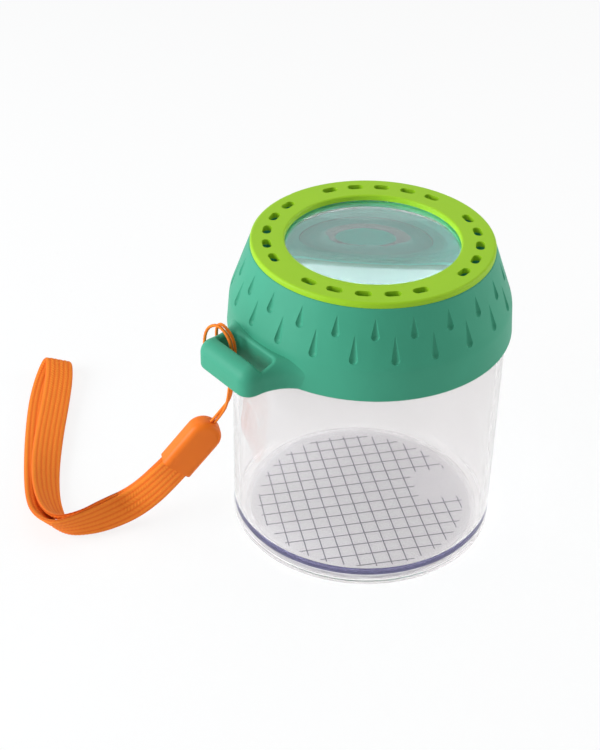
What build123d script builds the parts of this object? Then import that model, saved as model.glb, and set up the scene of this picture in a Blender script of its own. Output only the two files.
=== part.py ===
"""A bug catcher jar: a clear screw-top cup with a magnifier lid and a wrist strap.

Millimetres, +Z up, the jar's axis on Z and its foot on z = 0. The strap's lug is on the left, in front.
"""

from build123d import *
import math
import os

os.makedirs("parts", exist_ok=True)

# Clear cup
CUP_R = 42.2
CUP_WALL = 1.9
CUP_TALL = 71.25
FOOT_WALL = 2.9
FLOOR_LOW = 0.4
FLOOR_THICK = 1.7
FLOOR_FILLET = 4.6
SHOULDER_THICK = 2.8
NECK_STEP = 2.6
NECK_WALL = 2.0
NECK_TALL = 9.45
NECK_R = CUP_R - NECK_STEP

# Lid: a short skirt round the neck, a soft shoulder and a cone up to a flat deck
SEAT_GAP = 0.3
THREAD_ROOM = 1.7
SKIRT_WALL = 2.53
SKIRT_DRAFT = 0.79
SKIRT_TALL = 10.15
CONE_TALL = 17.1
SHOULDER_ROUND = 9.0
LID_WALL = 2.2
DECK_THICK = 2.6
SKIRT_IN_R = NECK_R + THREAD_ROOM
RIM_R = SKIRT_IN_R + SKIRT_WALL
RIM_Z = CUP_TALL + SEAT_GAP
SKIRT_TOP_R = RIM_R - SKIRT_DRAFT
SKIRT_TOP_Z = RIM_Z + SKIRT_TALL
DECK_Z = SKIRT_TOP_Z + CONE_TALL

# Lens seat: a counterbore in the deck over a ledge, so that the vent ring closes it from above
BORE_R = 26.2
LEDGE_WIDE = 1.9
LEDGE_THICK = 1.5
SEAT_WALL = 1.7
LENS_EDGE = 1.9
FREE = 0.3
SEAT_R = BORE_R + LEDGE_WIDE
SEAT_Z = DECK_Z - LENS_EDGE - FREE
LEDGE_LOW = SEAT_Z - LEDGE_THICK

# Vent ring on the deck, round the bore
RING_STEP = 0.2
RING_WIDE = 10.35
RING_THICK = 1.8
DECK_MARGIN = 0.25
SLOT_INSET = 5.5
SLOT_LONG = 5.0
SLOT_WIDE = 2.7
SLOT_PITCH = 15.0
SLOTS_IN_GROUP = 5
GROUP_MIDDLE = -96.5
PEG_R = 1.5
PEG_ROOM = 0.1
RING_IN_R = BORE_R + RING_STEP
RING_OUT_R = RING_IN_R + RING_WIDE
SLOT_R = RING_IN_R + SLOT_INSET
DECK_R = RING_OUT_R + DECK_MARGIN

# Teardrop recesses in two staggered rows round the cone, by height above the skirt
DROPS_IN_ROW = 22
DROP_DEPTH = 0.85
DROP_TIP = 0.12
LOWER_ROW = dict(low=1.5, high=11.0, radius=1.4, start=-131.0)
UPPER_ROW = dict(low=8.3, high=15.4, radius=1.3, start=-139.2)

# Magnifier lens, loose by FREE in its seat, domed as high as the ring's top
LENS_RISE = 1.9
LENS_R = BORE_R - FREE
LENS_FLANGE_R = SEAT_R - FREE

# Strap lug: a bar on two arms, square to LUG_ANGLE, with a slot between bar and skirt
LUG_ANGLE = -140.5
LUG_REACH = 13.56
LUG_HALF = 12.3
LUG_SHIFT = -0.7
LUG_TALL = 9.05
LUG_BAR = 5.6
LUG_ROOT = 1.56
LUG_SLOT_HALF = 9.4
LUG_SLOT_ROUND = 1.0
LUG_ROUND = 4.2
LUG_HOLLOW = 14.0
LUG_UNDER = 1.2
LUG_OUT = SKIRT_TOP_R + LUG_REACH
LUG_SLOT_IN = SKIRT_TOP_R + LUG_ROOT
LUG_SLOT_OUT = LUG_OUT - LUG_BAR

# Thin cord, moulded cap and flat braid
CORD_D = 1.0
CORD_ROOM = 0.3
BRAID_WIDE = 10.0
BRAID_THICK = 1.6
LAYER_GAP = 0.3
CAP_ROOM = 0.7
CAP_SIDE = 0.25
CAP_FACE = 1.3
CAP_LONG = 19.8
CAP_ROUND = 2.2
CAP_POCKET = 7.5
CAP_WIDE = BRAID_WIDE + CAP_ROOM + 2 * CAP_SIDE
CAP_THICK = 2 * (BRAID_THICK + CAP_ROOM + CAP_FACE)


def turned(corners):
    """A solid of revolution from (radius, height, corner rounding) triples."""
    face = make_face(Polyline([(r, z) for r, z, _ in corners], close=True))
    for r, z, rounding in corners:
        if rounding:
            face = fillet(face.vertices().sort_by_distance((r, z, 0))[0], rounding)
    return revolve(Plane.XZ * face, Axis.Z)


def save(solid, name):
    solid.label = name
    export_step(solid, f"parts/{name}.step")
    return solid


# Cup: low foot ring, floor with a wide inner round, straight wall and a narrower neck
neck_top = CUP_TALL + NECK_TALL
floor_top = FLOOR_LOW + FLOOR_THICK
cup = turned(
    [
        (CUP_R, 0, 0.9),
        (CUP_R, CUP_TALL, 0.8),
        (NECK_R, CUP_TALL, 0),
        (NECK_R, neck_top, 0.5),
        (NECK_R - NECK_WALL, neck_top, 0.5),
        (NECK_R - NECK_WALL, CUP_TALL, 0),
        (CUP_R - CUP_WALL, CUP_TALL - SHOULDER_THICK, 0),
        (CUP_R - CUP_WALL, floor_top, FLOOR_FILLET),
        (0, floor_top, 0),
        (0, FLOOR_LOW, 0),
        (CUP_R - FOOT_WALL, FLOOR_LOW, 0),
        (CUP_R - FOOT_WALL, 0, 0),
    ]
)
save(cup, "jar_cup")

# Lid shell: the cone's slope gives the inner wall its offset
slope = (SKIRT_TOP_R - DECK_R) / (DECK_Z - SKIRT_TOP_Z)
lean = math.degrees(math.atan(slope))
inner_low = SKIRT_TOP_Z - LID_WALL * math.sin(math.radians(lean))
inner_low_r = SKIRT_TOP_R - LID_WALL * math.cos(math.radians(lean))
deck_low = DECK_Z - DECK_THICK
inner_high_r = inner_low_r - (deck_low - inner_low) * slope
lid = turned(
    [
        (RIM_R, RIM_Z, 0.7),
        (SKIRT_TOP_R, SKIRT_TOP_Z, SHOULDER_ROUND),
        (DECK_R, DECK_Z, 0.5),
        (SEAT_R, DECK_Z, 0),
        (SEAT_R, SEAT_Z, 0),
        (BORE_R, SEAT_Z, 0),
        (BORE_R, LEDGE_LOW, 0),
        (SEAT_R + SEAT_WALL, LEDGE_LOW, 0),
        (SEAT_R + SEAT_WALL, deck_low, 0),
        (inner_high_r, deck_low, 0),
        (inner_low_r, inner_low, 4.0),
        (SKIRT_IN_R, RIM_Z, 0),
    ]
)


def at_slot_mouth(edge):
    """Whether an edge runs along the slot's walls and ends in their upper half."""
    box = edge.bounding_box()
    across = max(-box.min.Y, box.max.Y) - LUG_SLOT_HALF
    inward = max(LUG_SLOT_IN - box.min.X, box.max.X - LUG_SLOT_OUT)
    return max(across, inward) < 0.01 and box.min.Z > RIM_Z + LUG_TALL / 2


# Lug: the block runs into the skirt on hollow fillets, and all its edges are well rounded
block = Pos(LUG_OUT / 2, LUG_SHIFT) * Rectangle(LUG_OUT, 2 * LUG_HALF)
block = fillet(block.vertices().group_by(Axis.X)[-1], LUG_ROUND)
skirt_edge = SKIRT_TOP_R + 0.2
plan = block + Circle(skirt_edge)
inner_corners = plan.vertices().filter_by(lambda v: abs(math.hypot(v.X, v.Y) - skirt_edge) < 0.01)
plan = fillet(inner_corners, LUG_HOLLOW)
lug = Pos(0, 0, RIM_Z) * extrude(plan, LUG_TALL)
lug = fillet(lug.faces().sort_by(Axis.Z)[-1].edges(), LUG_ROUND)
lug = fillet(lug.faces().sort_by(Axis.Z)[0].edges(), LUG_UNDER)
slot = Pos((LUG_SLOT_IN + LUG_SLOT_OUT) / 2, 0) * RectangleRounded(
    LUG_SLOT_OUT - LUG_SLOT_IN, 2 * LUG_SLOT_HALF, 1.2
)
lug = lug - extrude(slot, 2 * DECK_Z)
lug = fillet(lug.edges().filter_by(at_slot_mouth), LUG_SLOT_ROUND)
lug = lug - Cylinder(SKIRT_TOP_R - 0.9, 4 * DECK_Z)
lid = lid + Rot(0, 0, LUG_ANGLE) * lug

# Vents and the ring's peg holes, through the deck
vents = Sketch()
for group in range(4):
    first = GROUP_MIDDLE + 90 * group - SLOT_PITCH * (SLOTS_IN_GROUP - 1) / 2
    span = SLOT_PITCH * (SLOTS_IN_GROUP - 1)
    vents += PolarLocations(SLOT_R, SLOTS_IN_GROUP, first, span, endpoint=True) * SlotOverall(
        SLOT_LONG, SLOT_WIDE, rotation=90
    )
pegs_at = PolarLocations(SLOT_R, 4, GROUP_MIDDLE + 45)
lid = lid - Pos(0, 0, deck_low - 1) * extrude(vents, DECK_THICK + 2)
lid = lid - Pos(0, 0, deck_low - 1) * extrude(
    Sketch() + pegs_at * Circle(PEG_R + PEG_ROOM), DECK_THICK + 2
)


def teardrops(low, high, radius, start):
    """One row of cutters: a ball drawn up to a point. The ball sinks into the cone by DROP_DEPTH, and the
    point stays DROP_TIP above it."""
    length = (high - low) / math.cos(math.radians(lean))
    reach = length - radius
    touch = math.acos(radius / reach)
    side = (radius * math.sin(touch), radius * math.cos(touch))
    outline = Polyline(side, (0, reach), (0, -radius)) + ThreePointArc((0, -radius), (radius, 0), side)
    above = radius - DROP_DEPTH
    dip = math.degrees(math.asin((above - DROP_TIP) / reach))
    drop = Pos(0, 0, above) * Rot(-dip, 0, 0) * revolve(make_face(outline), Axis.Y)
    middle_z = SKIRT_TOP_Z + low + radius * math.cos(math.radians(lean))
    on_cone = SKIRT_TOP_R - (middle_z - SKIRT_TOP_Z) * slope
    tilt = Plane(
        origin=(on_cone, 0, middle_z),
        x_dir=(0, 1, 0),
        z_dir=(math.cos(math.radians(lean)), 0, math.sin(math.radians(lean))),
    )
    pitch = 360 / DROPS_IN_ROW
    return [Rot(0, 0, start + pitch * i) * tilt.location * drop for i in range(DROPS_IN_ROW)]


lid = lid - teardrops(**LOWER_ROW) - teardrops(**UPPER_ROW)
save(lid, "lid_shell")

# Vent ring with four locating pegs in the gaps between the slot groups
ring = turned(
    [
        (RING_IN_R, DECK_Z, 0),
        (RING_OUT_R, DECK_Z, 0),
        (RING_OUT_R, DECK_Z + RING_THICK, 0.8),
        (RING_IN_R, DECK_Z + RING_THICK, 0.6),
    ]
)
ring = ring - Pos(0, 0, DECK_Z - 1) * extrude(vents, RING_THICK + 2)
pegs = extrude(Sketch() + pegs_at * Circle(PEG_R), DECK_THICK + 0.5)
ring = ring + Pos(0, 0, DECK_Z - DECK_THICK) * pegs
save(ring, "vent_ring")

# Lens: two shallow domes with a flange between the ledge and the vent ring
flange_low = SEAT_Z + FREE / 2
flange_top = flange_low + LENS_EDGE
lens_curve = (LENS_R**2 + LENS_RISE**2) / (2 * LENS_RISE)
half_rise = LENS_RISE - lens_curve + math.sqrt(lens_curve**2 - LENS_R**2 / 4)
top_dome = ThreePointArc(
    (0, flange_top + LENS_RISE), (LENS_R / 2, flange_top + half_rise), (LENS_R, flange_top)
)
low_dome = ThreePointArc(
    (LENS_R, flange_low), (LENS_R / 2, flange_low - half_rise), (0, flange_low - LENS_RISE)
)
flange = Polyline(
    (LENS_R, flange_top), (LENS_FLANGE_R, flange_top), (LENS_FLANGE_R, flange_low), (LENS_R, flange_low)
)
middle_line = Line((0, flange_low - LENS_RISE), (0, flange_top + LENS_RISE))
lens_face = make_face(top_dome + flange + low_dome + middle_line)
lens = revolve(Plane.XZ * lens_face, Axis.Z)
save(lens, "magnifier_lens")

# Cap: a flat-sided sleeve with a round nose, on its own axis from nose to mouth
CAP_MOUTH = Vector(-60.1, -13.2, 23.4)
CAP_AXIS = Vector(-0.615, -0.164, -0.771).normalized()
CAP_ACROSS = Vector(-0.72, -0.14, 0.68)
CAP_ACROSS = (CAP_ACROSS - CAP_AXIS * CAP_ACROSS.dot(CAP_AXIS)).normalized()
cap_plane = Plane(origin=CAP_MOUTH, x_dir=CAP_ACROSS, z_dir=-CAP_AXIS)
front = Pos(0, CAP_LONG / 2) * Rectangle(CAP_WIDE, CAP_LONG)
front = fillet(front.vertices().group_by(Axis.Y)[-1], CAP_WIDE / 2 - 0.05)
body = extrude(Plane.XZ * front, CAP_THICK / 2, both=True)
off_mouth = body.edges().filter_by(lambda e: e.center().Z > 0.01)
body = fillet(off_mouth.filter_by(lambda e: abs(e.center().Y) > CAP_THICK / 2 - 0.01), CAP_ROUND)
pocket = RectangleRounded(BRAID_WIDE + CAP_ROOM, 2 * (BRAID_THICK + CAP_ROOM), 0.6)
body = body - extrude(pocket, CAP_POCKET)
cord_pitch = CORD_D + CORD_ROOM
body = body - extrude(SlotOverall(2 * cord_pitch, cord_pitch), CAP_LONG + 1)
save(cap_plane * body, "strap_cap")


def lug_point(out, along, up):
    """A point by the lug: out from the slot's inner side, along the bar, up from the underside."""
    turn = math.radians(LUG_ANGLE)
    out += LUG_SLOT_IN
    x = out * math.cos(turn) - along * math.sin(turn)
    y = out * math.sin(turn) + along * math.cos(turn)
    return Vector(x, y, RIM_Z + up)


# Thin cord: a loop hitched round the lug's far arm, both ends inside the cap
end_a = cap_plane.from_local_coords(Vector(-cord_pitch / 2, 0, CAP_LONG - 9))
end_b = cap_plane.from_local_coords(Vector(cord_pitch / 2, 0, CAP_LONG - 9))
nose_a = cap_plane.from_local_coords(Vector(-cord_pitch / 2, 0, CAP_LONG + 4))
nose_b = cap_plane.from_local_coords(Vector(cord_pitch / 2, 0, CAP_LONG + 4))
cord_points = [
    end_a,
    nose_a,
    lug_point(0.4, -12.8, -18.55),
    lug_point(3, -8.2, -8.55),
    lug_point(4.2, -5.6, -0.55),
    lug_point(4.3, -5, 8.65),
    lug_point(5.6, -9.8, 13.45),
    lug_point(7.3, -14.5, 9.65),
    lug_point(7.4, -14.6, -0.95),
    lug_point(6.2, -11, -3.95),
    lug_point(5.2, -3.2, -3.65),
    lug_point(1.4, -3.4, -4.15),
    lug_point(1, -11.2, -4.35),
    lug_point(2.4, -14.5, -1.15),
    lug_point(3.2, -14.6, 8.85),
    lug_point(3.8, -10.2, 12.65),
    lug_point(2.9, -5.3, 8.65),
    lug_point(2.7, -5.8, -0.55),
    lug_point(1.6, -8.6, -8.55),
    lug_point(-1, -13.4, -18.55),
    nose_b,
    end_b,
]
radii = []
for i in range(1, len(cord_points) - 1):
    before = cord_points[i] - cord_points[i - 1]
    after = cord_points[i + 1] - cord_points[i]
    turn = math.radians(before.get_angle(after))
    radii.append(0.45 * min(before.length, after.length) / math.tan(turn / 2))
print("cord radii", [round(r, 1) for r in radii])
cord_path = FilletPolyline(*cord_points, radius=radii)
cord = sweep(Plane(cord_path @ 0, z_dir=cord_path % 0) * Circle(CORD_D / 2), cord_path)
print("cord length", round(cord_path.length, 1), "volume", round(cord.volume, 1))
print("section times length", round(cord_path.length * math.pi * CORD_D**2 / 4, 1))
save(cord, "cord_loop")

# Braid: its lower and upper edges, out from the cap to the far fold and back inside the same turn
into_cap = CAP_AXIS * (1.5 - CAP_POCKET)
front_side = CAP_AXIS.cross(CAP_ACROSS).normalized() * (BRAID_THICK + LAYER_GAP) / -2
mouth_low = CAP_MOUTH - CAP_ACROSS * (BRAID_WIDE / 2)
mouth_high = CAP_MOUTH + CAP_ACROSS * (BRAID_WIDE / 2)
braid_edges = [
    (mouth_low + front_side + into_cap, mouth_high + front_side + into_cap),
    (mouth_low + front_side, mouth_high + front_side),
    ((-69.5, -13.2, 3.4), (-75.3, -9.6, 10.7)),
    ((-82.2, -20.2, 1.2), (-84.3, -17.9, 10.6)),
    ((-92.5, -22.7, 1.2), (-92.2, -24.2, 10.8)),
    ((-97.9, -20.3, 1.2), (-99.0, -25.8, 9.1)),
    ((-100.0, -16.6, 1.2), (-105.2, -20.8, 7.8)),
    ((-101.4, -9.2, 1.2), (-109.8, -11.2, 5.6)),
    ((-104.2, 9.0, 1.2), (-113.8, 8.4, 3.2)),
    ((-107.2, 31.6, 1.15), (-117.1, 31.6, 1.5)),
    ((-108.8, 50.0, 1.15), (-118.7, 50.0, 1.4)),
    ((-108.9, 62.5, 1.15), (-118.5, 63.0, 1.7)),
    ((-108.2, 70.0, 1.6), (-117.3, 70.8, 2.8)),
    ((-106.5, 72.0, 3.7), (-116.0, 72.4, 5.2)),
    ((-105.2, 68.8, 4.6), (-114.8, 68.8, 6.8)),
    ((-104.2, 61.0, 3.5), (-113.9, 61.0, 5.4)),
    ((-103.7, 48.0, 2.5), (-113.5, 48.0, 3.9)),
    ((-103.2, 28.0, 2.4), (-113.0, 28.0, 3.7)),
    ((-102.3, 10.0, 1.7), (-111.4, 10.0, 4.9)),
    ((-100.0, -5.0, 1.4), (-108.2, -6.0, 6.4)),
    ((-97.1, -13.6, 1.2), (-103.4, -17.8, 7.6)),
    ((-95.0, -18.4, 1.2), (-97.6, -23.2, 9.4)),
    ((-91.0, -21.0, 1.2), (-90.8, -22.2, 10.8)),
    ((-82.9, -18.4, 1.2), (-85.0, -16.2, 10.5)),
    ((-69.6, -11.2, 2.6), (-75.4, -7.6, 9.8)),
    (mouth_low - front_side, mouth_high - front_side),
    (mouth_low - front_side + into_cap, mouth_high - front_side + into_cap),
]
middles = [(Vector(low) + Vector(high)) / 2 for low, high in braid_edges]
spaces = [0.0]
for one, two in zip(middles, middles[1:]):
    spaces.append(spaces[-1] + (two - one).length)
steps = [s / spaces[-1] for s in spaces]
low_edge = Edge.make_spline([Vector(low) for low, _ in braid_edges], parameters=steps)
high_edge = Edge.make_spline([Vector(high) for _, high in braid_edges], parameters=steps)


def braid_middle(at):
    low = low_edge.position_at(at, position_mode=PositionMode.PARAMETER)
    high = high_edge.position_at(at, position_mode=PositionMode.PARAMETER)
    return (low + high) / 2, (high - low).normalized()


def braid_section(at):
    """The braid's flat rectangle across its run, square to its own direction there."""
    middle, across = braid_middle(at)
    ahead = braid_middle(min(at + 0.004, 1))[0] - braid_middle(max(at - 0.004, 0))[0]
    ahead = (ahead - across * ahead.dot(across)).normalized()
    return Plane(origin=middle, x_dir=across, z_dir=ahead) * Rectangle(BRAID_WIDE, BRAID_THICK)


stations = []
for left, right in zip(steps, steps[1:]):
    length = (right - left) * spaces[-1]
    count = max(2, min(4, round(length / 4)))
    stations += [left + (right - left) * i / count for i in range(count)]
stations.append(1.0)
braid = loft([braid_section(at) for at in stations], ruled=True)
braid_length = sum(
    (braid_middle(b)[0] - braid_middle(a)[0]).length for a, b in zip(stations, stations[1:])
)
print("braid length", round(braid_length, 1), "volume", round(braid.volume, 1))
print("section times length", round(braid_length * BRAID_WIDE * BRAID_THICK, 1))
save(braid, "wrist_strap")
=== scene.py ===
# %% [markdown]
# # A bug catcher jar
# A clear cup, a teal screw lid with a magnifier in it, a lime ring of air slots and an orange wrist strap.
# The CAD frame gives every piece its place, so this lesson adds what CAD leaves out: the lay of the cords,
# the threads, the printed grid and the finishes.

# %% Load the CAD frame
import math

import bpy
import numpy as np
from mathutils import Matrix, Vector


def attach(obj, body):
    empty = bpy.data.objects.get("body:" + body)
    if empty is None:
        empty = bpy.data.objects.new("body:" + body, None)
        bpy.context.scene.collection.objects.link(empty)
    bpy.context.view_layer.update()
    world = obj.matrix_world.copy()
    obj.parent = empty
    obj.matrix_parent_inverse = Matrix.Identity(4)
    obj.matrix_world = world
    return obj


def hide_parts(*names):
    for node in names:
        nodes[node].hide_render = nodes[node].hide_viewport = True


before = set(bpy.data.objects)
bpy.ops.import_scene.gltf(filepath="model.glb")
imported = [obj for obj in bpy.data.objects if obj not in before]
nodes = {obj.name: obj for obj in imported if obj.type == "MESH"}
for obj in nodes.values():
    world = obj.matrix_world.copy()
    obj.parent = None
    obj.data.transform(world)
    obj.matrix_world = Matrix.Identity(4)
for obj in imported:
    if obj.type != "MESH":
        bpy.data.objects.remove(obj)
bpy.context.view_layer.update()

MM = 0.001
print("CAD nodes:", ", ".join(sorted(nodes)))

# %% [markdown]
# ## Camera
# The photograph was taken from in front and above, at about 35 degrees, with a long lens and a slight tilt.
# A camera can be aimed with a Track To constraint, but a matrix made of the view's own right, up and back
# directions says the same in three lines and can't drift.

# %% Camera
CAMERA_AT = (-20.979, -399.486, 329.005)
PITCH_DOWN = math.radians(34.914)
ROLL = math.radians(1.079)
FOCAL_PIXELS = 1540.0
IMAGE_TALL = 750
SENSOR = 36.0
CLIP_NEAR = 0.01

ahead = Vector((0, math.cos(PITCH_DOWN), -math.sin(PITCH_DOWN)))
level_right = Vector((1, 0, 0))
level_up = level_right.cross(ahead)
right = level_right * math.cos(ROLL) + level_up * math.sin(ROLL)
up = level_up * math.cos(ROLL) - level_right * math.sin(ROLL)
view = bpy.data.cameras.new("view")
view.sensor_fit = "VERTICAL"
view.sensor_height = SENSOR
view.lens = FOCAL_PIXELS / IMAGE_TALL * SENSOR
view.clip_start = CLIP_NEAR
camera = bpy.data.objects.new("camera", view)
bpy.context.scene.collection.objects.link(camera)
view_axes = Matrix((right, up, -ahead)).transposed().to_4x4()
camera.matrix_world = Matrix.Translation(Vector(CAMERA_AT) * MM) @ view_axes
bpy.context.scene.camera = camera
print("lens", round(view.lens, 1), "mm")

# %% [markdown]
# ## Surfaces from arrays
# Every new piece here is a surface over two parameters: a profile carried along a line. One function turns a
# rows-by-columns array of points into a mesh of quads, closes it round the profile, and puts a flat face on
# each end, so that no seam is left open.

# %% Mesh helpers
def carried(name, points, along=None, around=None):
    """A closed tube: row r, column c of points is the profile's point c at step r. Quads join neighbours,
    the last column joins the first, and one face closes each end. along and around become its UV map."""
    rows, columns = points.shape[:2]
    index = np.arange(rows * columns).reshape(rows, columns)
    following = np.roll(index, -1, axis=1)
    quads = np.stack([index[:-1], following[:-1], following[1:], index[1:]], axis=-1).reshape(-1, 4)
    faces = quads.tolist() + [index[0, ::-1].tolist(), index[-1].tolist()]
    mesh = bpy.data.meshes.new(name)
    mesh.from_pydata((points.reshape(-1, 3) * MM).tolist(), [], faces)
    if along is not None:
        vertex_of = np.empty(len(mesh.loops), np.int32)
        mesh.loops.foreach_get("vertex_index", vertex_of)
        flat = np.stack(np.broadcast_arrays(along, around), axis=-1).reshape(-1, 2)
        layer = mesh.uv_layers.new(name="lay")
        layer.data.foreach_set("uv", flat[vertex_of].astype(np.float32).ravel())
    mesh.polygons.foreach_set("use_smooth", np.arange(len(faces)) < len(quads))
    piece = bpy.data.objects.new(name, mesh)
    bpy.context.scene.collection.objects.link(piece)
    print(name, len(mesh.vertices), "points")
    return piece


def nurbs_line(points, per_span):
    """Points in order along one open NURBS spline of order 3 that has the given rows as control points."""
    data = bpy.data.curves.new("route", "CURVE")
    data.dimensions = "3D"
    data.resolution_u = per_span
    spline = data.splines.new("NURBS")
    spline.points.add(len(points) - 1)
    spline.points.foreach_set("co", np.column_stack([points, np.ones(len(points))]).ravel())
    spline.order_u = 3
    spline.use_endpoint_u = True
    carrier = bpy.data.objects.new("route", data)
    mesh = bpy.data.meshes.new_from_object(carrier)
    line = np.empty(len(mesh.vertices) * 3)
    mesh.vertices.foreach_get("co", line)
    bpy.data.objects.remove(carrier)
    bpy.data.meshes.remove(mesh)
    bpy.data.curves.remove(data)
    return line.reshape(-1, 3)


def unit(vectors):
    return vectors / np.linalg.norm(vectors, axis=-1, keepdims=True)


def run_of(line):
    """How far along its line each point is."""
    return np.concatenate([[0.0], np.cumsum(np.linalg.norm(np.diff(line, axis=0), axis=1))])


# %% [markdown]
# ## Where the strap's cap is
# The cap joins the thin cord to the flat braid. Its mouth, its axis from nose to mouth and the direction of
# its width place both of them, so these are worked out once.

# %% Cap directions
CAP_MOUTH = np.array([-60.1, -13.2, 23.4])
CAP_LONG = 19.8
cap_axis = unit(np.array([-0.615, -0.164, -0.771]))
across = np.array([-0.72, -0.14, 0.68])
cap_across = unit(across - cap_axis * (across @ cap_axis))


def in_cap(sideways, up_from_mouth):
    return CAP_MOUTH + cap_across * sideways - cap_axis * up_from_mouth


cap_nose = in_cap(0, CAP_LONG)
print("cap nose at", cap_nose.round(1))

# %% [markdown]
# ## Thin cord
# A 1 mm cord is laid from three strands. It comes out of the cap's nose, goes up through the lug's slot,
# over the arm and round under it twice, and back down beside itself into the cap. A NURBS spline with the
# route's points as its control points gives a soft line, and a three-lobed profile that turns as it is
# carried along that line gives the lay of the strands.

# %% Cord
LUG_ANGLE = math.radians(-140.5)
CORD_D = 1.0
CORD_PAIR = 0.65
LAY_LENGTH = 3.2
STRANDS = 3
LOBE_DEEP = 0.20
IN_NOSE, OFF_NOSE = 9.0, 4.0
CORD_STEPS, CORD_COLUMNS = 36, 18
LEVEL_BY = np.array([0.35, 0.2, 0.91])
hitch = np.array([
    (45.0, -12.8, 53.0), (47.6, -8.2, 63.0), (48.8, -5.6, 71.0), (48.9, -5.0, 80.2), (50.2, -9.8, 85.0),
    (51.9, -14.5, 81.2), (52.0, -14.6, 70.6), (50.8, -11.0, 67.6), (49.8, -3.2, 67.9), (46.0, -3.4, 67.4),
    (45.6, -11.2, 67.2), (47.0, -14.5, 70.4), (47.8, -14.6, 80.4), (48.4, -10.2, 84.2), (47.5, -5.3, 80.2),
    (47.3, -5.8, 71.0), (46.2, -8.6, 63.0), (43.6, -13.4, 53.0),
])
out, along, height = hitch.T
by_lug = np.column_stack([
    out * math.cos(LUG_ANGLE) - along * math.sin(LUG_ANGLE),
    out * math.sin(LUG_ANGLE) + along * math.cos(LUG_ANGLE),
    height,
])
cord_route = np.vstack([
    in_cap(-CORD_PAIR, CAP_LONG - IN_NOSE), in_cap(-CORD_PAIR, CAP_LONG + OFF_NOSE), by_lug,
    in_cap(CORD_PAIR, CAP_LONG + OFF_NOSE), in_cap(CORD_PAIR, CAP_LONG - IN_NOSE),
])
cord_line = nurbs_line(cord_route, CORD_STEPS)
cord_run = run_of(cord_line)


def level_frames(line):
    """Two directions square to the line at each point: one as level as it can be, and one square to both."""
    ahead = unit(np.gradient(line, axis=0))
    side = unit(np.cross(ahead, LEVEL_BY))
    return side, np.cross(side, ahead)


cord_side, cord_other = level_frames(cord_line)
turn = np.linspace(0, 2 * np.pi, CORD_COLUMNS, endpoint=False)[None, :]
lay = 2 * np.pi * cord_run[:, None] / LAY_LENGTH
lobes = CORD_D / 2 * (1 - LOBE_DEEP + LOBE_DEEP * np.abs(np.cos(STRANDS / 2 * (turn - lay))))
cord = carried(
    "cord_strands",
    cord_line[:, None] + (lobes * np.cos(turn))[..., None] * cord_side[:, None]
    + (lobes * np.sin(turn))[..., None] * cord_other[:, None],
    cord_run[:, None] / LAY_LENGTH, turn / (2 * np.pi),
)
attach(cord, "lid")
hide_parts("cord_loop")
cap_nose * MM
print("cord", round(cord_run[-1], 1), "mm long")

# %% [markdown]
# ## Wrist strap
# The strap is one flat braid, 10 mm wide, that leaves the cap, turns over at its far end and comes back
# against itself. Its two edges are two NURBS splines, so it can stand on edge by the cap and lie flat at the
# far fold. Between the edges runs a profile with six round ribs on each face, and the slanted stitches of the
# braid lift and sink along every rib.

# %% Braid
BRAID_WIDE = 10.0
BRAID_THICK = 1.6
LAYER_SIDE = 0.95
RIBS = 6
RIB_DEEP = 0.14
STITCH = 1.25
STITCH_HIGH = 0.09
STITCH_SLANT = 0.9
RIB_CURVE, EDGE_CURVE = 0.6, 7
IN_POCKET = 6
BRAID_STEPS, FACE_COLUMNS, MIDDLE_STEPS = 38, 36, 120
layer_side = unit(np.cross(cap_axis, cap_across)) * -LAYER_SIDE


def mouth_edges(side, inside):
    """The braid's lower and upper edge at the cap's mouth, on one side of the pocket, so far inside it."""
    middle = CAP_MOUTH + layer_side * side - cap_axis * inside
    half = cap_across * BRAID_WIDE / 2
    return [np.concatenate([middle - half, middle + half])]


laid = np.array([
    (-69.5, -13.2, 3.4, -75.3, -9.6, 10.7), (-82.2, -20.2, 1.2, -84.3, -17.9, 10.6),
    (-92.5, -22.7, 1.2, -92.2, -24.2, 10.8), (-97.9, -20.3, 1.2, -99.0, -25.8, 9.1),
    (-100.0, -16.6, 1.2, -105.2, -20.8, 7.8), (-101.4, -9.2, 1.2, -109.8, -11.2, 5.6),
    (-104.2, 9.0, 1.2, -113.8, 8.4, 3.2), (-107.2, 31.6, 1.15, -117.1, 31.6, 1.5),
    (-108.8, 50.0, 1.15, -118.7, 50.0, 1.4), (-108.9, 62.5, 1.15, -118.5, 63.0, 1.7),
    (-108.2, 70.0, 1.6, -117.3, 70.8, 2.8), (-106.5, 72.0, 3.7, -116.0, 72.4, 5.2),
    (-105.2, 68.8, 4.6, -114.8, 68.8, 6.8), (-104.2, 61.0, 3.5, -113.9, 61.0, 5.4),
    (-103.7, 48.0, 2.5, -113.5, 48.0, 3.9), (-103.2, 28.0, 2.4, -113.0, 28.0, 3.7),
    (-102.3, 10.0, 1.7, -111.4, 10.0, 4.9), (-100.0, -5.0, 1.4, -108.2, -6.0, 6.4),
    (-97.1, -13.6, 1.2, -103.4, -17.8, 7.6), (-95.0, -18.4, 1.2, -97.6, -23.2, 9.4),
    (-91.0, -21.0, 1.2, -90.8, -22.2, 10.8), (-82.9, -18.4, 1.2, -85.0, -16.2, 10.5),
    (-69.6, -11.2, 2.6, -75.4, -7.6, 9.8),
])
edges = np.vstack(
    mouth_edges(1, IN_POCKET) + mouth_edges(1, 0) + [laid]
    + mouth_edges(-1, 0) + mouth_edges(-1, IN_POCKET)
)
low_line = nurbs_line(edges[:, :3], BRAID_STEPS)
high_line = nurbs_line(edges[:, 3:], BRAID_STEPS)
braid_line = (low_line + high_line) / 2
braid_run = run_of(braid_line)
braid_across = unit(high_line - low_line)
braid_face = unit(np.cross(np.gradient(braid_line, axis=0), braid_across))

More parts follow.
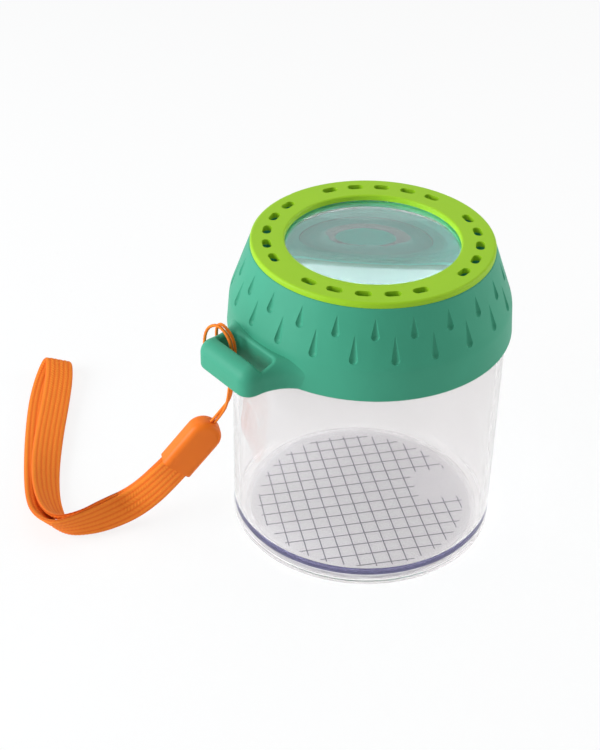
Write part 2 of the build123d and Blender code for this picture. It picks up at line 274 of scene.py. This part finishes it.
share = np.linspace(-1, 1, FACE_COLUMNS)
across_place = np.concatenate([share, share[::-1]]) * BRAID_WIDE / 2
face_sign = np.repeat([1.0, -1.0], FACE_COLUMNS)
rib_place = (across_place / BRAID_WIDE + 0.5) * RIBS
rib_round = np.abs(np.sin(np.pi * rib_place)) ** RIB_CURVE
edge_round = np.sqrt(np.clip(1 - np.abs(across_place / (BRAID_WIDE / 2)) ** EDGE_CURVE, 0, 1))
slant = np.where(np.floor(np.clip(rib_place, 0, RIBS - 0.01)) % 2 == 0, 1.0, -1.0)
stitch = np.cos(2 * np.pi * (braid_run[:, None] / STITCH + slant * rib_place * STITCH_SLANT))
swell = BRAID_THICK / 2 - RIB_DEEP * (1 - rib_round) + STITCH_HIGH * stitch * rib_round - STITCH_HIGH
rise = face_sign * edge_round * swell
braid_flat = braid_line[:, None] + across_place[:, None] * braid_across[:, None]
braid_points = braid_flat + rise[..., None] * braid_face[:, None]
strap = carried("strap_braid", braid_points, braid_run[:, None] / STITCH, rib_place)
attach(strap, "lid")
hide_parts("wrist_strap")

# %% [markdown]
# ## Screw threads
# The lid turns on a two-start thread: one full turn lifts it 10 mm, so it is free after one turn. A ridge is
# a trapezium carried along a helix. Its height fades out at both ends, as a moulded thread's does. The lid's
# ridges lie midway between the jar's, so the two never meet at any turn.

# %% Threads
LEAD = 10.0
STARTS = 2
RIDGE_ROWS = 120
ROOT_HALF, CREST_HALF = 1.15, 0.45
ROOT_SUNK = 0.2
FADE_TURNS, FADE_LEAST = 0.035, 0.02


def thread_ridges(name, wall, crest, low, high, first):
    """Ridges on a helix: height grows by LEAD a turn, and the radius goes from the wall to the crest and back
    across a trapezium. Rows run along the turn, columns go round the trapezium."""
    turns = np.linspace(0, (high - low) / LEAD, RIDGE_ROWS)
    fade = np.clip(np.minimum(turns, turns[-1] - turns) / FADE_TURNS, FADE_LEAST, 1.0)[:, None]
    root = wall - ROOT_SUNK * np.sign(crest - wall)
    ridge_out = np.array([root, crest, crest, root])
    ridge_up = np.array([-ROOT_HALF, -CREST_HALF, CREST_HALF, ROOT_HALF])
    if crest < wall:
        ridge_out, ridge_up = ridge_out[::-1], ridge_up[::-1]
    radius = root + (ridge_out - root) * fade
    height = low + turns[:, None] * LEAD + ridge_up
    made = []
    for start in range(STARTS):
        angle = math.radians(first) + 2 * np.pi * (turns[:, None] + start / STARTS)
        points = np.broadcast_arrays(radius * np.cos(angle), radius * np.sin(angle), height)
        made.append(carried(f"{name}_{start + 1}", np.stack(points, axis=-1)))
    return made


jar_threads = thread_ridges("jar_thread", wall=39.6, crest=40.65, low=73.4, high=79.3, first=20.0)
lid_threads = thread_ridges("lid_thread", wall=41.3, crest=40.15, low=73.2, high=79.0, first=110.0)
for ridge in jar_threads:
    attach(ridge, "jar")
for ridge in lid_threads:
    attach(ridge, "lid")

# %% [markdown]
# ## Measuring grid
# A 5 mm grid is printed in thin lines on the underside of the jar's floor, so that a find can be measured.
# Each line is a thin strip of ink. The strips end on a circle, and a patch on the right is left bare. The ink
# lies just inside the clear floor, because ink that touches plastic is seen through it at any slant.

# %% Grid
CELL = 5.0
GRID_TURN = math.radians(12.6)
GRID_R = 34.0
GRID_LINES = 14
MIDDLE_COLUMN, MIDDLE_ROW = 7.6, 6.47
BARE_COLUMNS, BARE_ROWS = (11.5, 14.5), (4.5, 7.5)
LINE_WIDE = 0.38
SHORTEST = 0.5
FLOOR_LOW = 0.4
INK_LOW, INK_HIGH = FLOOR_LOW + 0.03, FLOOR_LOW + 0.07
CROSS_LIFT = 0.06
grid_x = (np.arange(1, GRID_LINES + 1) - MIDDLE_COLUMN) * CELL
grid_y = -(np.arange(GRID_LINES) - MIDDLE_ROW) * CELL
bare_x = (np.array(BARE_COLUMNS) - MIDDLE_COLUMN) * CELL
bare_y = np.sort(-(np.array(BARE_ROWS) - MIDDLE_ROW) * CELL)


def strips_across(places, bare_places, bare_span):
    """Start and end of each line's strips: a chord of the grid's circle, cut in two round the bare patch."""
    reach = np.sqrt(GRID_R**2 - places**2)
    cut = (places > bare_places[0]) & (places < bare_places[1])
    first = np.column_stack([places, -reach, np.where(cut, np.maximum(bare_span[0], -reach), reach)])
    second = np.column_stack([places, np.minimum(bare_span[1], reach), reach])[cut]
    strips = np.vstack([first, second])
    return strips[strips[:, 2] - strips[:, 1] > SHORTEST]


def ink_boxes(name, low, high):
    """Thin boxes from their lowest and highest corners, turned with the grid about the jar's axis."""
    corner = np.array([(i, j, k) for k in (0, 1) for i, j in ((0, 0), (1, 0), (1, 1), (0, 1))])
    points = low[:, None] + (high - low)[:, None] * corner
    x, y, z = points[..., 0], points[..., 1], points[..., 2]
    cos, sin = math.cos(GRID_TURN), math.sin(GRID_TURN)
    points = np.stack([x * cos - y * sin, x * sin + y * cos, z], axis=-1)
    sides = np.array([(3, 2, 1, 0), (4, 5, 6, 7), (0, 1, 5, 4), (1, 2, 6, 5), (2, 3, 7, 6), (3, 0, 4, 7)])
    faces = (sides[None] + 8 * np.arange(len(points))[:, None, None]).reshape(-1, 4)
    mesh = bpy.data.meshes.new(name)
    mesh.from_pydata((points.reshape(-1, 3) * MM).tolist(), [], faces.tolist())
    piece = bpy.data.objects.new(name, mesh)
    bpy.context.scene.collection.objects.link(piece)
    print(name, len(low), "strips")
    return piece


up_place, up_from, up_to = strips_across(grid_x, bare_x, bare_y).T
side_place, side_from, side_to = strips_across(grid_y, bare_y, bare_x).T
half = LINE_WIDE / 2
lift = np.repeat([0.0, CROSS_LIFT], [len(up_place), len(side_place)])
ink_low = np.column_stack([
    np.concatenate([up_place - half, side_from]),
    np.concatenate([up_from, side_place - half]),
    INK_LOW + lift,
])
ink_high = np.column_stack([
    np.concatenate([up_place + half, side_to]),
    np.concatenate([up_to, side_place + half]),
    INK_HIGH + lift,
])
grid = ink_boxes("floor_grid", ink_low, ink_high)
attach(grid, "jar")

# %% [markdown]
# ## Shader sums in Python
# Long chains of Math nodes are hard to read. A small class wraps an output socket and overloads the
# operators, so a mask can be written as a sum, and one method makes every other node from its type, its
# settings and its sockets.

# %% Finish helper
BUMP_HIGH = 0.2 * MM


class Wire:
    """An output socket. Operators on it add Math nodes to its material."""

    def __init__(self, finish, socket):
        self.finish, self.socket = finish, socket

    def math(self, operation, first, second=0.0):
        return self.finish.node("ShaderNodeMath", {"operation": operation}, {0: first, 1: second})

    def __add__(self, other):
        return self.math("ADD", self, other)

    def __mul__(self, other):
        return self.math("MULTIPLY", self, other)

    def __sub__(self, other):
        return self.math("SUBTRACT", self, other)

    def __rsub__(self, other):
        return self.math("SUBTRACT", other, self)

    def __gt__(self, other):
        return self.math("GREATER_THAN", self, other)

    def __lt__(self, other):
        return self.math("LESS_THAN", self, other)

    __radd__, __rmul__ = __add__, __mul__


class Finish:
    """A material that is built node by node."""

    def __init__(self, name):
        self.material = bpy.data.materials.new(name)
        self.material.use_nodes = True
        self.tree = self.material.node_tree
        self.tree.nodes.clear()

    def node(self, kind, settings=None, sockets=None, out=0):
        made = self.tree.nodes.new(kind)
        for key, value in (settings or {}).items():
            setattr(made, key, value)
        for key, value in (sockets or {}).items():
            if isinstance(value, Wire):
                self.tree.links.new(value.socket, made.inputs[key])
            else:
                made.inputs[key].default_value = value
        return Wire(self, made.outputs[out]) if made.outputs else None

    def place(self, out="Object"):
        return self.node("ShaderNodeTexCoord", out=out)

    def axes(self, at):
        return [self.node("ShaderNodeSeparateXYZ", None, {0: at}, out=axis) for axis in "XYZ"]

    def noise(self, at, scale, detail, rough=0.5):
        sockets = {"Vector": at, "Scale": scale, "Detail": detail, "Roughness": rough}
        return self.node("ShaderNodeTexNoise", None, sockets)

    def mix(self, share, first, second):
        return self.node("ShaderNodeMix", {"data_type": "RGBA"}, {0: share, 6: first, 7: second}, out=2)

    def bump(self, height, strength):
        sockets = {"Height": height, "Strength": strength, "Distance": BUMP_HIGH}
        return self.node("ShaderNodeBump", None, sockets)

    def close(self, shader):
        self.node("ShaderNodeOutputMaterial", None, {"Surface": shader})
        print("finish", self.material.name, len(self.tree.nodes), "nodes")
        return self.material


def paint(red, green, blue):
    """A display colour, 0 to 255, as the linear colour that a shader takes."""
    shown = np.array([red, green, blue]) / 255
    linear = np.where(shown <= 0.04045, shown / 12.92, ((shown + 0.055) / 1.055) ** 2.4)
    return (*linear.tolist(), 1.0)


def dress(piece, material):
    piece.data.materials.clear()
    piece.data.materials.append(material)


# %% [markdown]
# ## Moulded plastics
# The lid, the ring and the cap are moulded in solid colours with a satin skin. A real moulding isn't one flat
# colour: the pigment clouds a little, and the tool's fine spark grain breaks up the shine. Two noises give
# that, a wide one for colour and roughness and a fine one for bump. Behind the thread, where the lid is lit
# only through the clear neck, a paler colour is painted on as light, standing for the light that the plastic
# carries round inside itself.

# %% Moulded finishes
THREAD_WALL_R = 41.6 * MM
THREAD_WALL_TOP = 81.5 * MM
CLOUD_SCALE, SKIN_SCALE = 55.0, 2400.0
ROUGH_SWING = 0.12


def moulded(name, low, high, rough, grain, wall_light=None):
    """Solid plastic between two colours. A third, paler one, if given, is painted light on the wall that
    carries the thread.
    """
    finish = Finish(name)
    at = finish.place()
    cloud = finish.noise(at, CLOUD_SCALE, 3.0)
    skin = finish.noise(at, SKIN_SCALE, 2.0, 0.6)
    colour = finish.mix(cloud, low, high)
    if wall_light:
        x, y, z = finish.axes(at)
        # Painted light: the lid's wall behind the thread gets a paler teal, for the light that comes in
        # through the neck.
        lit_thread_wall = (x * x + y * y < THREAD_WALL_R**2) * (z < THREAD_WALL_TOP)
        colour = finish.mix(lit_thread_wall, colour, wall_light)
    return finish.close(finish.node("ShaderNodeBsdfPrincipled", None, {
        "Base Color": colour,
        "Roughness": rough - ROUGH_SWING / 2 + cloud * ROUGH_SWING,
        "Normal": finish.bump(skin, grain),
        "Specular IOR Level": 0.22,
    }))


teal = moulded(
    "teal_moulding", paint(58, 148, 118), paint(67, 161, 130), rough=0.52, grain=0.10,
    # painted light for the wall behind the thread
    wall_light=paint(84, 236, 220),
)
lime = moulded("lime_moulding", paint(148, 196, 26), paint(158, 204, 38), rough=0.48, grain=0.08)
cap_orange = moulded("orange_moulding", paint(238, 110, 20), paint(243, 124, 30), rough=0.42, grain=0.06)
dress(nodes["lid_shell"], teal)
dress(nodes["vent_ring"], lime)
dress(nodes["strap_cap"], cap_orange)
for ridge in lid_threads:
    dress(ridge, teal)

# %% [markdown]
# ## Clear plastics
# The cup and the lens are solid clear plastic, so they are glass shaders with a little tint. Glass blocks
# lamps in Cycles, and that would leave the jar's inside dark, so lamps' rays meet a plain transparent shader
# instead. The floor's underside is frosted, less so at its rim, so the print on it stands out. Round the foot
# the thick corner looks dark where it reflects light inside itself, and that shade is painted on as a violet
# band: the tint follows the height, shows only from outside and leaves out faces met from within.
#
# The lens has nearly the full index of its plastic, so at a low slant its near edge shows only what is
# reflected between its two faces. That takes more bounces than a render has, so after the third one the faces
# count as rough and let the light out, as a pale band. The cup's index is lower than its plastic's, which
# keeps what is behind it in sight. The jar's ridges are partly inside the neck, where light mustn't bend
# twice, so their index is near one.

# %% Clear finishes
FROST_TOP = (FLOOR_LOW + 0.05) * MM
FROST_R = 36.8 * MM
FROST_RIM_R = 38.9 * MM
BAND_LOW, BAND_HIGH = 4.4 * MM, 7.0 * MM
BAND_R = 41.5 * MM
CAUGHT_AFTER = 2.5
CAUGHT_BLUR = 0.8


def clear(finish, tint, ior, rough, veil, coat=0.0, blur=0.0):
    """A clear shader. The veil is the share of light that the skin scatters, the coat is a glossy film, and
    the blur is added to the roughness."""
    haze = finish.noise(finish.place(), 90.0, 3.0)
    return finish.node("ShaderNodeBsdfPrincipled", None, {
        "Base Color": tint,
        "Roughness": rough + haze * rough + blur,
        "IOR": ior,
        "Transmission Weight": 1.0 - veil,
        "Coat Weight": coat,
        "Coat IOR": 1.6,
    })


def behind_lamps(finish, shader, share):
    """Lamps' rays meet a transparent film that lets the given share through."""
    film = finish.node("ShaderNodeBsdfTransparent", None, {"Color": (share, share, share, 1)})
    lamp = finish.node("ShaderNodeLightPath", out="Is Shadow Ray")
    return finish.close(finish.node("ShaderNodeMixShader", None, {0: lamp, 1: shader, 2: film}))


cup = Finish("clear_moulding")
cup_place = cup.place()
x, y, z = cup.axes(cup_place)
from_axis = cup.node("ShaderNodeMath", {"operation": "SQRT"}, {0: x * x + y * y})
outside = 1.0 - cup.node("ShaderNodeNewGeometry", out="Backfacing")
# Painted shade: the dark violet band round the foot's thick corner, by height, on faces seen from outside.
shaded_band = (z > BAND_LOW) * (z < BAND_HIGH) * (from_axis > BAND_R) * outside
mottle = cup.noise(cup_place, 420.0, 4.0, 0.7)
violet_shade = cup.mix(mottle, paint(44, 42, 82), paint(76, 74, 118))
cup_glass = clear(cup, cup.mix(shaded_band, paint(242, 240, 240), violet_shade), ior=1.22, rough=0.03, veil=0.07)
frost = cup.node("ShaderNodeBsdfPrincipled", None, {
    "Base Color": cup.mix(mottle, paint(204, 199, 202), paint(213, 209, 211)),
    "Roughness": 0.7 + mottle * 0.2,
    "Transmission Weight": 0.25,
})
frosted = (z < FROST_TOP) * ((from_axis < FROST_R) + (from_axis < FROST_RIM_R)) * 0.5
cup_skin = cup.node("ShaderNodeMixShader", None, {0: frosted, 1: cup_glass, 2: frost})
dress(nodes["jar_cup"], behind_lamps(cup, cup_skin, share=0.93))

lens = Finish("lens_moulding")
caught = lens.node("ShaderNodeLightPath", out="Ray Depth") > CAUGHT_AFTER
lens_glass = clear(
    lens, paint(222, 249, 246), ior=1.47, rough=0.004, veil=0.0, coat=0.3, blur=caught * CAUGHT_BLUR
)
dress(nodes["magnifier_lens"], behind_lamps(lens, lens_glass, share=0.93))

thread = Finish("thread_moulding")
thread_glass = clear(thread, paint(246, 246, 247), ior=1.12, rough=0.01, veil=0.03)
thread_clear = behind_lamps(thread, thread_glass, share=0.97)
for ridge in jar_threads:
    dress(ridge, thread_clear)

# %% [markdown]
# ## Cord, braid and ink
# Woven pieces take their pattern from their own UV map, because it has to follow the yarn. On the braid and
# the cord, shade is painted into the grooves between ribs and light onto the stitches' crowns.

# %% Woven finishes
LIT_CROWN_SHARE, FIBRE_SHARE, DEEPER = 0.5, 0.6, 0.02


def woven(name, shaded_yarn, lit_yarn, period, fine):
    """Yarn: painted light on top of each rib and painted shade in its groove, with fine fibres across the
    stitches.
    """
    finish = Finish(name)
    at = finish.place("UV")
    around = finish.node("ShaderNodeSeparateXYZ", None, {0: at}, out="Y")
    # Painted light and shade: lighter on top of each rib, darker in the grooves between them.
    lit_crown = finish.node("ShaderNodeMath", {"operation": "SINE"}, {0: around * (math.pi * period)})
    lit_crown = finish.node("ShaderNodeMath", {"operation": "ABSOLUTE"}, {0: lit_crown})
    fibre = finish.noise(at, fine, 3.0, 0.65)
    return finish.close(finish.node("ShaderNodeBsdfPrincipled", None, {
        "Base Color": finish.mix(lit_crown * LIT_CROWN_SHARE + fibre * FIBRE_SHARE - DEEPER, shaded_yarn, lit_yarn),
        "Roughness": 0.62 + fibre * 0.2,
        "Normal": finish.bump(fibre, 0.25),
        "Specular IOR Level": 0.2,
    }))


dress(strap, woven("orange_braid_yarn", paint(228, 84, 18), paint(248, 146, 48), period=1.0, fine=9.0))
dress(cord, woven("orange_cord_yarn", paint(226, 88, 18), paint(250, 146, 46), period=3.0, fine=7.0))
ink = Finish("grid_ink")
patchy = ink.noise(ink.place(), 900.0, 3.0)
dress(grid, ink.close(ink.node("ShaderNodeBsdfPrincipled", None, {
    "Base Color": ink.mix(patchy, paint(52, 50, 66), paint(80, 78, 96)),
    "Roughness": 0.6 + patchy * 0.2,
})))

# %% [markdown]
# ## Studio
# A white sweep and soft light. The floor and the world show white to the camera, to reflections and through
# the clear plastic, while the lamps stay at a plain level. Part of the floor is still a diffuse surface, so
# it keeps the shadows.

# %% Stage and light
FLOOR_HALF = 3.0
FLOOR_Z = -0.2 * MM
FLOOR_GLOW = 0.82
WORLD_LEAST = 0.40
floor_mesh = bpy.data.meshes.new("studio_floor")
corners = FLOOR_HALF * np.array([(-1, -1), (1, -1), (1, 1), (-1, 1)])
floor_mesh.from_pydata([(x, y, FLOOR_Z) for x, y in corners], [], [(0, 1, 2, 3)])
floor = bpy.data.objects.new("studio_floor", floor_mesh)
bpy.context.scene.collection.objects.link(floor)
sweep = Finish("white_sweep")
seen = sum(
    (sweep.node("ShaderNodeLightPath", out=f"Is {kind} Ray") for kind in ("Glossy", "Transmission")),
    sweep.node("ShaderNodeLightPath", out="Is Camera Ray"),
)
dress(floor, sweep.close(sweep.node("ShaderNodeMixShader", None, {
    0: (seen > 0.5) * FLOOR_GLOW,
    1: sweep.node("ShaderNodeBsdfDiffuse", None, {"Color": (0.95, 0.95, 0.95, 1)}),
    2: sweep.node("ShaderNodeEmission", None, {"Color": (1, 1, 1, 1), "Strength": 1.0}),
})))

world = bpy.data.worlds.new("studio")
world.use_nodes = True
bpy.context.scene.world = world
tree = world.node_tree
path = tree.nodes.new("ShaderNodeLightPath")
shown = path.outputs["Is Camera Ray"]
for kind in ("Glossy", "Transmission"):
    either = tree.nodes.new("ShaderNodeMath")
    either.operation = "MAXIMUM"
    tree.links.new(shown, either.inputs[0])
    tree.links.new(path.outputs[f"Is {kind} Ray"], either.inputs[1])
    shown = either.outputs[0]
level = tree.nodes.new("ShaderNodeMapRange")
level.inputs["To Min"].default_value = WORLD_LEAST
level.inputs["To Max"].default_value = 1.0
pale = tree.nodes["Background"]
pale.inputs["Color"].default_value = (1, 1, 1, 1)
tree.links.new(shown, level.inputs["Value"])
tree.links.new(level.outputs[0], pale.inputs["Strength"])


def softbox(name, at, aim, wide, tall, watts, colour=(1.0, 1.0, 1.0)):
    lamp = bpy.data.lights.new(name, "AREA")
    lamp.color = colour
    lamp.shape, lamp.size, lamp.size_y, lamp.energy = "RECTANGLE", wide, tall, watts
    holder = bpy.data.objects.new(name, lamp)
    bpy.context.scene.collection.objects.link(holder)
    toward = Vector(aim) - Vector(at)
    holder.matrix_world = Matrix.Translation(at) @ toward.to_track_quat("-Z", "Y").to_matrix().to_4x4()
    print(name, watts, "W")


softbox(
    "key_left", at=(-0.83, -0.22, 0.40), aim=(0, 0, 0.06), wide=0.60, tall=0.50, watts=8.4,
    colour=(0.90, 0.96, 1.0),
)
softbox("rim_right", at=(0.75, 0.15, 0.32), aim=(0, 0, 0.06), wide=0.35, tall=0.45, watts=2.2)
softbox("top", at=(0.0, 0.25, 0.85), aim=(0, 0, 0.05), wide=0.6, tall=0.5, watts=1.2)

# %% Finish
scene = bpy.context.scene
scene.view_settings.view_transform = "Standard"
